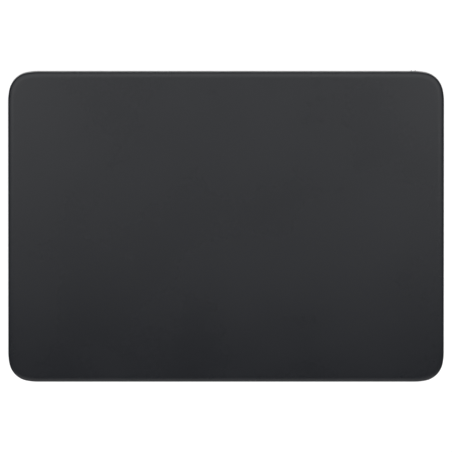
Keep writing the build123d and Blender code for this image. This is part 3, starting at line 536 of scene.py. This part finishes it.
surface(
    "copper_winding", ROLLED, ((0.60, 0.25, 0.10), (0.76, 0.38, 0.18)), (0.22, 0.38),
    depth=0.006 * MM, metal=0.9, values={"Lines": 9000.0},
)
surface(
    "battery_pouch", CREASED, ((0.024, 0.024, 0.026), (0.04, 0.04, 0.042)), (0.32, 0.50),
    depth=0.12 * MM, strength=0.4,
)
surface(
    "ribbon_amber", ROLLED, ((0.42, 0.17, 0.03), (0.56, 0.26, 0.05)), (0.20, 0.32),
    depth=0.004 * MM, values={"Lines": 2500.0, "Mark Share": 0.15}, Coat_Weight=0.4, Coat_Roughness=0.15,
)
surface(
    "indicator_green", MOULDED, ((0.08, 0.50, 0.13), (0.12, 0.60, 0.18)), (0.30, 0.42),
    depth=0.004 * MM, values={"Grain": 5000.0},
)

board, board_pattern, board_tone = surface(
    "board_green", TRACES, ((0.018, 0.075, 0.04), (0.04, 0.15, 0.085)), (0.30, 0.36),
    depth=0.02 * MM, strength=0.6, Coat_Weight=0.5, Coat_Roughness=0.2,
)
PLATING = (0.72, 0.62, 0.42)
tree = board.node_tree
plated = mix_of(tree, board_pattern.outputs["Holes"], board_tone, PLATING)
wire(tree, plated, tree.nodes["Principled BSDF"].inputs["Base Color"])

for part in frame["record"]["subparts"]:
    shown = frame["nodes"][part["node"]].data.materials
    shown.clear()
    shown.append(bpy.data.materials[part["material_slot"]])

# ---- the glass plate: a flat top that rolls over into a short straight side

GLASS_T = 1.0 * MM
ROLL_RUN = 2.4 * MM
ROLL_DROP = 0.45 * MM
ROLL_STEPS = 16
UNDER_CHAMFER = 0.1 * MM
roll = [(inward, -depth) for inward, depth in quarter_round(ROLL_RUN, ROLL_DROP, ROLL_STEPS)]
glass_edge = [(UNDER_CHAMFER, -GLASS_T), (0, UNDER_CHAMFER - GLASS_T)] + roll
glass = ring_round(glass_edge, PLATE_HALF_X, PLATE_HALF_Y, corner_arcs())
close_ends(glass)
piece("glass_plate", placed(glass, PLATE_PLACE), "touch_plate", "black_glass", "touch_glass", sharp=50)

# ---- the feet, turned with a soft edge where they meet the desk

FOOT_ROUND = 0.15 * MM
FOOT_ROUND_STEPS = 4
FOOT_STEPS = 72
for end in ("front", "rear"):
    for side in ("left", "right"):
        node = "foot_" + end + "_" + side
        low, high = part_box(node)
        middle = (low + high) / 2
        radius = (high.x - low.x) / 2
        tall = high.z - low.z
        soft = quarter_round(FOOT_ROUND, FOOT_ROUND, FOOT_ROUND_STEPS)
        edge = [(radius - depth, height) for height, depth in soft]
        foot = turned([(0, 0)] + edge + [(radius, tall), (0, tall)], FOOT_STEPS)
        placed(foot, Matrix.Translation((middle.x, middle.y, low.z)))
        piece(end + "_" + side + "_foot", foot, "base", "foot_rubber", node)

# ---- the power switch's knob: a long button with two finger ribs, and the stem behind it

RIM_DEPTH = 1.3 * MM
PORT_DEPTH = (RIM_DEPTH + (REAR_HEIGHT - FOOT_LIFT) / cos(TILT)) / 2
SWITCH_X = 68.8 * MM
KNOB_BACK = PLATE_HALF_Y - 0.62 * MM
KNOB_FACE = PLATE_HALF_Y + 0.1 * MM
RIB_TOP = PLATE_HALF_Y + 0.35 * MM
RIB_ROOT = PLATE_HALF_Y - 0.1 * MM
RIB_OFFSET = 0.735 * MM
STEM_REACH = 1.9 * MM
KNOB_WIDE, KNOB_TALL = 2.5 * MM, 1.7 * MM
RIB_WIDE, RIB_TALL = 0.4 * MM, 1.2 * MM
STEM_WIDE, STEM_TALL = 0.8 * MM, 0.6 * MM
KNOB_CORNER, RIB_CORNER, STEM_CORNER = 0.8 * MM, 0.13 * MM, 0.1 * MM
KNOB_EDGE, RIB_EDGE = 0.12 * MM, 0.1 * MM
face = rounded_block((KNOB_WIDE, KNOB_FACE - KNOB_BACK, KNOB_TALL), KNOB_CORNER, 8, KNOB_EDGE)
parts = [placed(face, Matrix.Translation((0, (KNOB_FACE + KNOB_BACK) / 2, 0)))]
for offset in (-RIB_OFFSET, RIB_OFFSET):
    rib = rounded_block((RIB_WIDE, RIB_TOP - RIB_ROOT, RIB_TALL), RIB_CORNER, 4, RIB_EDGE)
    parts.append(placed(rib, Matrix.Translation((offset, (RIB_TOP + RIB_ROOT) / 2, 0))))
stem = rounded_block((STEM_WIDE, STEM_REACH, STEM_TALL), STEM_CORNER, 3, 0)
parts.append(placed(stem, Matrix.Translation((0, KNOB_BACK - STEM_REACH / 2, 0))))
knob = placed(gather(parts), PLATE_PLACE @ Matrix.Translation((SWITCH_X, 0, -PORT_DEPTH)))
piece("ribbed_knob", knob, "power_switch", "knob_silver", "switch_knob")

# ---- the haptic coils: each is ten turns of flat enamelled wire, wound on edge round its post

COIL_COUNT = 4
COIL_TURNS = 10
COIL_PITCH = 14.0 * MM
COIL_Y = -2.55 * MM
COIL_DEPTH = 3.65 * MM
COIL_T = 1.1 * MM
COIL_HALF_X = 6.5 * MM
COIL_HALF_Y = 7.0 * MM
COIL_CORNER = 2.0 * MM
CORNER_STEP_IN = 0.12 * MM
COIL_CORNER_STEPS = 6
WIRE_PITCH = 0.4 * MM
WIRE_GAP = 0.03 * MM
WIRE_ROUND = 0.09 * MM
outer = WIRE_GAP
inner = WIRE_PITCH - WIRE_GAP
section = [
    (outer + WIRE_ROUND, 0), (outer, -WIRE_ROUND),
    (outer, WIRE_ROUND - COIL_T), (outer + WIRE_ROUND, -COIL_T),
    (inner - WIRE_ROUND, -COIL_T), (inner, WIRE_ROUND - COIL_T),
    (inner, -WIRE_ROUND), (inner - WIRE_ROUND, 0),
]
coils = []
for number in range(COIL_COUNT):
    along = (number - (COIL_COUNT - 1) / 2) * COIL_PITCH
    for turn in range(COIL_TURNS):
        drawn_in = turn * WIRE_PITCH
        corner = COIL_CORNER - turn * CORNER_STEP_IN
        loop = ring_round(
            section, COIL_HALF_X - drawn_in, COIL_HALF_Y - drawn_in,
            [(corner, corner, pi / 2, COIL_CORNER_STEPS)], closed=True,
        )
        coils.append(placed(loop, Matrix.Translation((along, COIL_Y, -COIL_DEPTH))))
piece(
    "wound_coils", placed(gather(coils), PLATE_PLACE), "base", "copper_winding", "haptic_coils", sharp=60
)

# ---- the battery: a soft-edged pouch

BATTERY_SIZE = (94.0 * MM, 35.0 * MM, 3.5 * MM)
BATTERY_MIDDLE = (-5.0 * MM, 25.45 * MM, -5.275 * MM)
POUCH_CORNER = 1.6 * MM
POUCH_EDGE = 1.1 * MM
POUCH_STEPS = 6
pouch = rounded_block(BATTERY_SIZE, POUCH_CORNER, POUCH_STEPS, POUCH_EDGE, POUCH_STEPS, up="Z")
placed(pouch, PLATE_PLACE @ Matrix.Translation(BATTERY_MIDDLE))
piece("battery_pouch", pouch, "base", "battery_pouch", "battery_cell")

# ---- floor, camera and light

FLOOR_TONE = 0.8
SHADOW_SHARE = 0.35
FLOOR_REACH = 6.0

# Lit like paper for the light's bounces; for the rays that see it, a white glow that takes a faint shadow.
# It is clear from below and to the panel under it
white = bpy.data.materials.new("white_floor")
white.use_nodes = True
tree = white.node_tree
tree.nodes.clear()
path = tree.nodes.new("ShaderNodeLightPath")
side = tree.nodes.new("ShaderNodeNewGeometry")
paper = tree.nodes.new("ShaderNodeBsdfDiffuse")
paper.inputs["Color"].default_value = (FLOOR_TONE, FLOOR_TONE, FLOOR_TONE, 1)
shade = tree.nodes.new("ShaderNodeBsdfDiffuse")
shade.inputs["Color"].default_value = (SHADOW_SHARE, SHADOW_SHARE, SHADOW_SHARE, 1)
glow = tree.nodes.new("ShaderNodeEmission")
glow.inputs["Color"].default_value = (FLOOR_TONE, FLOOR_TONE, FLOOR_TONE, 1)
glow.inputs["Strength"].default_value = 1.0
bright = tree.nodes.new("ShaderNodeAddShader")
wire(tree, shade.outputs[0], bright.inputs[0])
wire(tree, glow.outputs[0], bright.inputs[1])
seen = sum_of(tree, "MAXIMUM", path.outputs["Is Camera Ray"], path.outputs["Is Glossy Ray"])
seen = sum_of(tree, "MAXIMUM", seen, path.outputs["Is Transmission Ray"])
from_above = tree.nodes.new("ShaderNodeMixShader")
wire(tree, seen, from_above.inputs[0])
wire(tree, paper.outputs[0], from_above.inputs[1])
wire(tree, bright.outputs[0], from_above.inputs[2])
clear = tree.nodes.new("ShaderNodeBsdfTransparent")
both = tree.nodes.new("ShaderNodeMixShader")
open_side = sum_of(tree, "MAXIMUM", side.outputs["Backfacing"], path.outputs["Is Shadow Ray"])
wire(tree, open_side, both.inputs[0])
wire(tree, from_above.outputs[0], both.inputs[1])
wire(tree, clear.outputs[0], both.inputs[2])
out = tree.nodes.new("ShaderNodeOutputMaterial")
wire(tree, both.outputs[0], out.inputs["Surface"])

ground = bmesh.new()
bmesh.ops.create_grid(ground, x_segments=1, y_segments=1, size=FLOOR_REACH)
floor_mesh = bpy.data.meshes.new("floor")
ground.to_mesh(floor_mesh)
ground.free()
floor_mesh.materials.append(white)
floor = bpy.data.objects.new("floor", floor_mesh)
scene.collection.objects.link(floor)
floor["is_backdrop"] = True

# The photo's scale and aim: straight down from far off, with the lens and the sensor in millimetres
PIXELS_PER_METRE = 2723.4
IMAGE_PIXELS = 452
LENS = 1000.0
SENSOR = 36.0
AIM = (-0.015 * MM, 0.081 * MM)
away = IMAGE_PIXELS / PIXELS_PER_METRE * LENS / SENSOR
camera_data = bpy.data.cameras.new("camera")
camera_data.lens = LENS
camera_data.sensor_width = SENSOR
camera_data.clip_start = 0.1
camera_data.clip_end = 20.0
camera = bpy.data.objects.new("camera", camera_data)
camera.location = (*AIM, MID_HEIGHT + away)
scene.collection.objects.link(camera)
scene.camera = camera


def lamp(name, place, target, size, power):
    """A soft rectangular lamp, aimed at a point."""
    data = bpy.data.lights.new(name, "AREA")
    data.shape = "RECTANGLE"
    data.size, data.size_y = size
    data.energy = power
    made = bpy.data.objects.new(name, data)
    made.location = place
    made.rotation_mode = "QUATERNION"
    made.rotation_quaternion = (Vector(target) - Vector(place)).to_track_quat("-Z", "Y")
    made.visible_camera = False
    scene.collection.objects.link(made)
    return made


# Low strips and a panel, from over the plate's middle to past its rear edge and at its two rear corners,
# for the plate's change of tone and its edge's ring of light; a wide panel in front; a fill that casts no
# glare; and one panel under the floor for the views from below
lamp("middle_strip", (0, 0, 0.25), (0, 0, 0), (0.38, 0.12), 0.079)
lamp("rear_strip", (0, 0.11, 0.35), (0, 0.11, 0), (0.40, 0.10), 0.18)
lamp("back_panel", (0, 0.20, 0.30), (0, 0.20, 0), (0.44, 0.20), 0.08)
lamp("left_strip", (-0.13, 0.07, 0.35), (-0.13, 0.07, 0), (0.08, 0.16), 0.045)
lamp("right_strip", (0.13, 0.07, 0.35), (0.13, 0.07, 0), (0.08, 0.16), 0.045)
lamp("front_panel", (0, -0.68, 0.74), (0, 0, 0), (1.30, 0.63), 2.4)
fill = lamp("fill", (0, 0, 1.2), (0, 0, 0), (1.6, 1.6), 10.0)
fill.visible_glossy = False
lamp("under_panel", (0, 0, -0.4), (0, 0, 0), (1.2, 1.2), 5.6)

# The backdrop is white round the horizon and fades into a dark ceiling, by the height of the ray's
# direction; the camera sees it white all over
HORIZON, CEILING = 0.05, 0.5
HORIZON_LEVEL, CEILING_LEVEL = 1.0, 0.06
world = bpy.data.worlds.new("studio")
scene.world = world
world.use_nodes = True
tree = world.node_tree
tree.nodes.clear()
path = tree.nodes.new("ShaderNodeLightPath")
place = tree.nodes.new("ShaderNodeTexCoord")
parts = tree.nodes.new("ShaderNodeSeparateXYZ")
wire(tree, place.outputs["Generated"], parts.inputs[0])
level = ramp(tree, parts.outputs["Z"], HORIZON, CEILING, HORIZON_LEVEL, CEILING_LEVEL)
level = sum_of(tree, "MULTIPLY", level, sum_of(tree, "GREATER_THAN", parts.outputs["Z"], 0.0))
sky = tree.nodes.new("ShaderNodeBackground")
sky.inputs["Color"].default_value = (1, 1, 1, 1)
wire(tree, level, sky.inputs["Strength"])
blank = tree.nodes.new("ShaderNodeBackground")
blank.inputs["Color"].default_value = (1, 1, 1, 1)
blank.inputs["Strength"].default_value = 1.0
mix = tree.nodes.new("ShaderNodeMixShader")
seen = sum_of(tree, "MAXIMUM", path.outputs["Is Camera Ray"], path.outputs["Is Transmission Ray"])
wire(tree, seen, mix.inputs[0])
wire(tree, sky.outputs[0], mix.inputs[1])
wire(tree, blank.outputs[0], mix.inputs[2])
out = tree.nodes.new("ShaderNodeOutputWorld")
wire(tree, mix.outputs[0], out.inputs["Surface"])

low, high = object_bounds()
